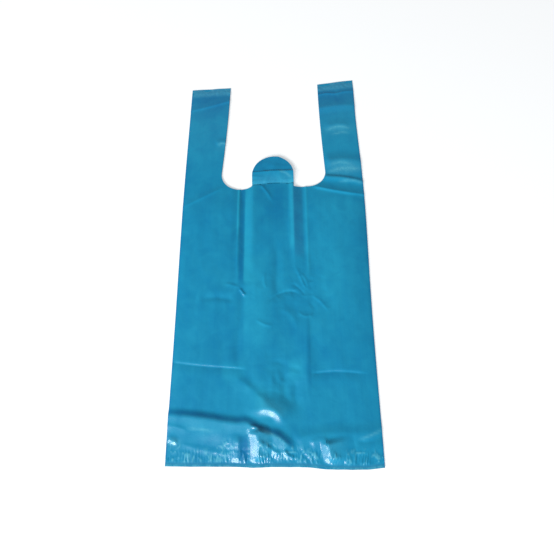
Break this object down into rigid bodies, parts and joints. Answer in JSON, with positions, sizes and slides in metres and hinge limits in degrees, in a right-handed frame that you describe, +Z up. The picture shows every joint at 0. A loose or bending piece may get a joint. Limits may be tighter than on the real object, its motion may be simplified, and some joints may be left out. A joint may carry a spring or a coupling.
{
  "type": "plastic carrier bag",
  "caption": "Empty thin film carrier bag lying flat, with side gussets, two carrying straps, a stamped mouth with a round tear-off tab, and a welded bottom.",
  "frame": {"origin": "under the middle of the bag's outline, at the level of the surface that the bag lies on", "axes": "+Y from the bottom weld towards the straps, +X across the bag, +Z up out of the front panel"},
  "size_m": [0.23, 0.498, 0.0041],
  "materials": {
    "film": "semi-gloss crinkled film"
  },
  "bodies": {
    "root": {"carrier_bag": "film"}
  },
  "joints": []
}
